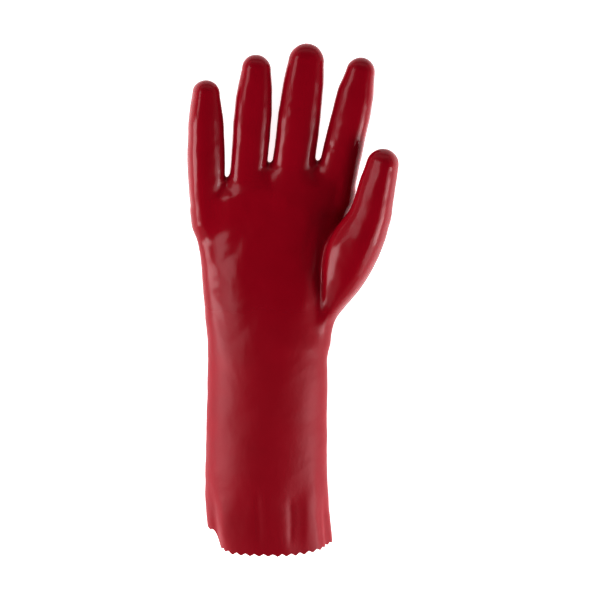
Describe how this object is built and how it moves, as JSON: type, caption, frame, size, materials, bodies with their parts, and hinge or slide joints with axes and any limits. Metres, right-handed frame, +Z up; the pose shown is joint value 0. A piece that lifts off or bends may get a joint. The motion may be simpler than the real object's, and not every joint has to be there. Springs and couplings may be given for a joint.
{
  "type": "pvc coated work glove",
  "caption": "Long chemical-resistant work glove for the right hand: one hollow piece of coated knit with a plain cuff, a pinked edge, palm, finger stalls and thumb.",
  "frame": {"origin": "middle of the bounding box, on the surface that the glove lies on", "axes": "+Y from the cuff's mouth to the fingertips, +X to the thumb's side, +Z up, out of the palm"},
  "size_m": [0.1434, 0.3478, 0.0644],
  "materials": {
    "pvc_coating": "glossy deep red soft PVC on a cotton knit"
  },
  "bodies": {
    "root": {"glove": "pvc_coating"}
  },
  "joints": []
}
